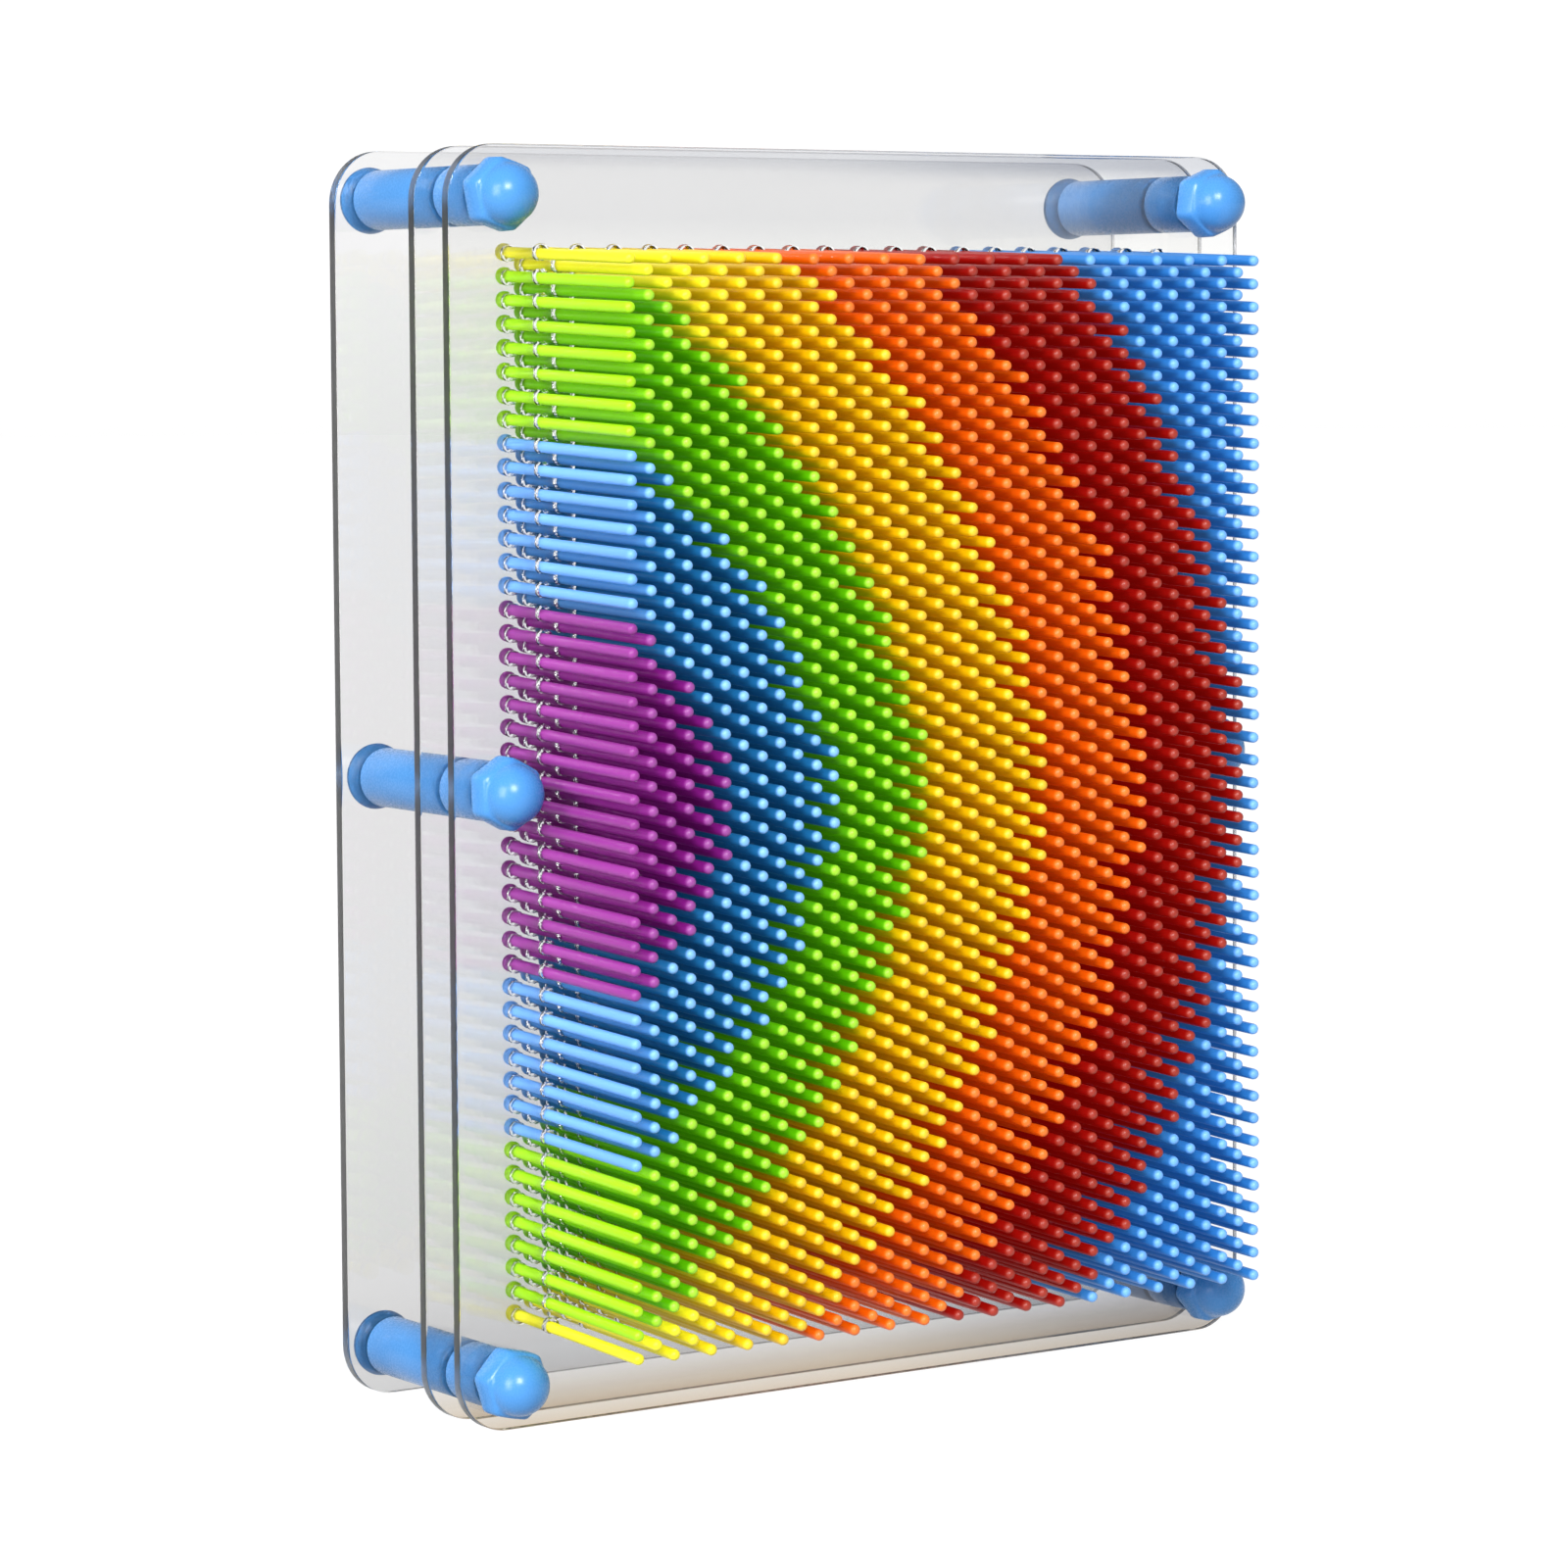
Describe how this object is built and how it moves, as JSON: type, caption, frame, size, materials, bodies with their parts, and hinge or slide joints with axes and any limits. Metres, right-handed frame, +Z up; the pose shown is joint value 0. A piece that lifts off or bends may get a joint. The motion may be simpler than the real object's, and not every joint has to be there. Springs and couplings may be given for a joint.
{
  "type": "pin art toy",
  "caption": "Upright toy of loose coloured pins in a rainbow arc, sliding through two clear drilled plates held by domed blue posts.",
  "frame": {"origin": "centre of the bounding box at the bottom edges of the plates, on which the toy stands", "axes": "+Z up, the pin tips point along -Y, +X to the right for someone who faces the pin tips"},
  "size_m": [0.155, 0.066, 0.2],
  "materials": {
    "clear_plastic": "clear polished plastic",
    "post_blue": "semi-gloss moulded plastic",
    "pin_purple": "semi-gloss moulded plastic",
    "pin_inner_blue": "semi-gloss moulded plastic",
    "pin_green": "semi-gloss moulded plastic",
    "pin_yellow": "semi-gloss moulded plastic",
    "pin_orange": "semi-gloss moulded plastic",
    "pin_red": "semi-gloss moulded plastic",
    "pin_corner_blue": "semi-gloss moulded plastic"
  },
  "bodies": {
    "frame": {"cover_rear": "clear_plastic", "guide_plate_front": "clear_plastic", "guide_plate_rear": "clear_plastic", "post_bolts": "post_blue", "post_dome_nuts": "post_blue", "post_sleeves_long": "post_blue", "post_sleeves_short": "post_blue"},
    "bank_corner_blue_bottom": {"pins_corner_blue_bottom": "pin_corner_blue"},
    "bank_corner_blue_lower": {"pins_corner_blue_lower": "pin_corner_blue"},
    "bank_corner_blue_top": {"pins_corner_blue_top": "pin_corner_blue"},
    "bank_corner_blue_upper": {"pins_corner_blue_upper": "pin_corner_blue"},
    "bank_green_bottom": {"pins_green_bottom": "pin_green"},
    "bank_green_lower": {"pins_green_lower": "pin_green"},
    "bank_green_middle": {"pins_green_middle": "pin_green"},
    "bank_green_top": {"pins_green_top": "pin_green"},
    "bank_green_upper": {"pins_green_upper": "pin_green"},
    "bank_inner_blue_bottom": {"pins_inner_blue_bottom": "pin_inner_blue"},
    "bank_inner_blue_lower": {"pins_inner_blue_lower": "pin_inner_blue"},
    "bank_inner_blue_top": {"pins_inner_blue_top": "pin_inner_blue"},
    "bank_inner_blue_upper": {"pins_inner_blue_upper": "pin_inner_blue"},
    "bank_orange_bottom": {"pins_orange_bottom": "pin_orange"},
    "bank_orange_lower": {"pins_orange_lower": "pin_orange"},
    "bank_orange_middle": {"pins_orange_middle": "pin_orange"},
    "bank_orange_top": {"pins_orange_top": "pin_orange"},
    "bank_orange_upper": {"pins_orange_upper": "pin_orange"},
    "bank_purple_lower": {"pins_purple_lower": "pin_purple"},
    "bank_purple_upper": {"pins_purple_upper": "pin_purple"},
    "bank_red_bottom": {"pins_red_bottom": "pin_red"},
    "bank_red_lower": {"pins_red_lower": "pin_red"},
    "bank_red_middle": {"pins_red_middle": "pin_red"},
    "bank_red_top": {"pins_red_top": "pin_red"},
    "bank_red_upper": {"pins_red_upper": "pin_red"},
    "bank_yellow_bottom": {"pins_yellow_bottom": "pin_yellow"},
    "bank_yellow_lower": {"pins_yellow_lower": "pin_yellow"},
    "bank_yellow_middle": {"pins_yellow_middle": "pin_yellow"},
    "bank_yellow_top": {"pins_yellow_top": "pin_yellow"},
    "bank_yellow_upper": {"pins_yellow_upper": "pin_yellow"}
  },
  "joints": [
    {"name": "slide_corner_blue_bottom", "type": "slide", "parent": "frame", "child": "bank_corner_blue_bottom", "axis": [0, 0.9992, 0.0406], "range_m": [0, 0.0213]},
    {"name": "slide_corner_blue_lower", "type": "slide", "parent": "frame", "child": "bank_corner_blue_lower", "axis": [0, 0.9992, 0.0406], "range_m": [0, 0.0213]},
    {"name": "slide_corner_blue_top", "type": "slide", "parent": "frame", "child": "bank_corner_blue_top", "axis": [0, 0.9992, 0.0406], "range_m": [0, 0.0213]},
    {"name": "slide_corner_blue_upper", "type": "slide", "parent": "frame", "child": "bank_corner_blue_upper", "axis": [0, 0.9992, 0.0406], "range_m": [0, 0.0213]},
    {"name": "slide_green_bottom", "type": "slide", "parent": "frame", "child": "bank_green_bottom", "axis": [0, 0.9992, 0.0406], "range_m": [0, 0.0213]},
    {"name": "slide_green_lower", "type": "slide", "parent": "frame", "child": "bank_green_lower", "axis": [0, 0.9992, 0.0406], "range_m": [0, 0.0213]},
    {"name": "slide_green_middle", "type": "slide", "parent": "frame", "child": "bank_green_middle", "axis": [0, 0.9992, 0.0406], "range_m": [0, 0.0213]},
    {"name": "slide_green_top", "type": "slide", "parent": "frame", "child": "bank_green_top", "axis": [0, 0.9992, 0.0406], "range_m": [0, 0.0213]},
    {"name": "slide_green_upper", "type": "slide", "parent": "frame", "child": "bank_green_upper", "axis": [0, 0.9992, 0.0406], "range_m": [0, 0.0213]},
    {"name": "slide_inner_blue_bottom", "type": "slide", "parent": "frame", "child": "bank_inner_blue_bottom", "axis": [0, 0.9992, 0.0406], "range_m": [0, 0.0213]},
    {"name": "slide_inner_blue_lower", "type": "slide", "parent": "frame", "child": "bank_inner_blue_lower", "axis": [0, 0.9992, 0.0406], "range_m": [0, 0.0213]},
    {"name": "slide_inner_blue_top", "type": "slide", "parent": "frame", "child": "bank_inner_blue_top", "axis": [0, 0.9992, 0.0406], "range_m": [0, 0.0213]},
    {"name": "slide_inner_blue_upper", "type": "slide", "parent": "frame", "child": "bank_inner_blue_upper", "axis": [0, 0.9992, 0.0406], "range_m": [0, 0.0213]},
    {"name": "slide_orange_bottom", "type": "slide", "parent": "frame", "child": "bank_orange_bottom", "axis": [0, 0.9992, 0.0406], "range_m": [0, 0.0213]},
    {"name": "slide_orange_lower", "type": "slide", "parent": "frame", "child": "bank_orange_lower", "axis": [0, 0.9992, 0.0406], "range_m": [0, 0.0213]},
    {"name": "slide_orange_middle", "type": "slide", "parent": "frame", "child": "bank_orange_middle", "axis": [0, 0.9992, 0.0406], "range_m": [0, 0.0213]},
    {"name": "slide_orange_top", "type": "slide", "parent": "frame", "child": "bank_orange_top", "axis": [0, 0.9992, 0.0406], "range_m": [0, 0.0213]},
    {"name": "slide_orange_upper", "type": "slide", "parent": "frame", "child": "bank_orange_upper", "axis": [0, 0.9992, 0.0406], "range_m": [0, 0.0213]},
    {"name": "slide_purple_lower", "type": "slide", "parent": "frame", "child": "bank_purple_lower", "axis": [0, 0.9992, 0.0406], "range_m": [0, 0.0213]},
    {"name": "slide_purple_upper", "type": "slide", "parent": "frame", "child": "bank_purple_upper", "axis": [0, 0.9992, 0.0406], "range_m": [0, 0.0213]},
    {"name": "slide_red_bottom", "type": "slide", "parent": "frame", "child": "bank_red_bottom", "axis": [0, 0.9992, 0.0406], "range_m": [0, 0.0213]},
    {"name": "slide_red_lower", "type": "slide", "parent": "frame", "child": "bank_red_lower", "axis": [0, 0.9992, 0.0406], "range_m": [0, 0.0213]},
    {"name": "slide_red_middle", "type": "slide", "parent": "frame", "child": "bank_red_middle", "axis": [0, 0.9992, 0.0406], "range_m": [0, 0.0213]},
    {"name": "slide_red_top", "type": "slide", "parent": "frame", "child": "bank_red_top", "axis": [0, 0.9992, 0.0406], "range_m": [0, 0.0213]},
    {"name": "slide_red_upper", "type": "slide", "parent": "frame", "child": "bank_red_upper", "axis": [0, 0.9992, 0.0406], "range_m": [0, 0.0213]},
    {"name": "slide_yellow_bottom", "type": "slide", "parent": "frame", "child": "bank_yellow_bottom", "axis": [0, 0.9992, 0.0406], "range_m": [0, 0.0213]},
    {"name": "slide_yellow_lower", "type": "slide", "parent": "frame", "child": "bank_yellow_lower", "axis": [0, 0.9992, 0.0406], "range_m": [0, 0.0213]},
    {"name": "slide_yellow_middle", "type": "slide", "parent": "frame", "child": "bank_yellow_middle", "axis": [0, 0.9992, 0.0406], "range_m": [0, 0.0213]},
    {"name": "slide_yellow_top", "type": "slide", "parent": "frame", "child": "bank_yellow_top", "axis": [0, 0.9992, 0.0406], "range_m": [0, 0.0213]},
    {"name": "slide_yellow_upper", "type": "slide", "parent": "frame", "child": "bank_yellow_upper", "axis": [0, 0.9992, 0.0406], "range_m": [0, 0.0213]}
  ]
}
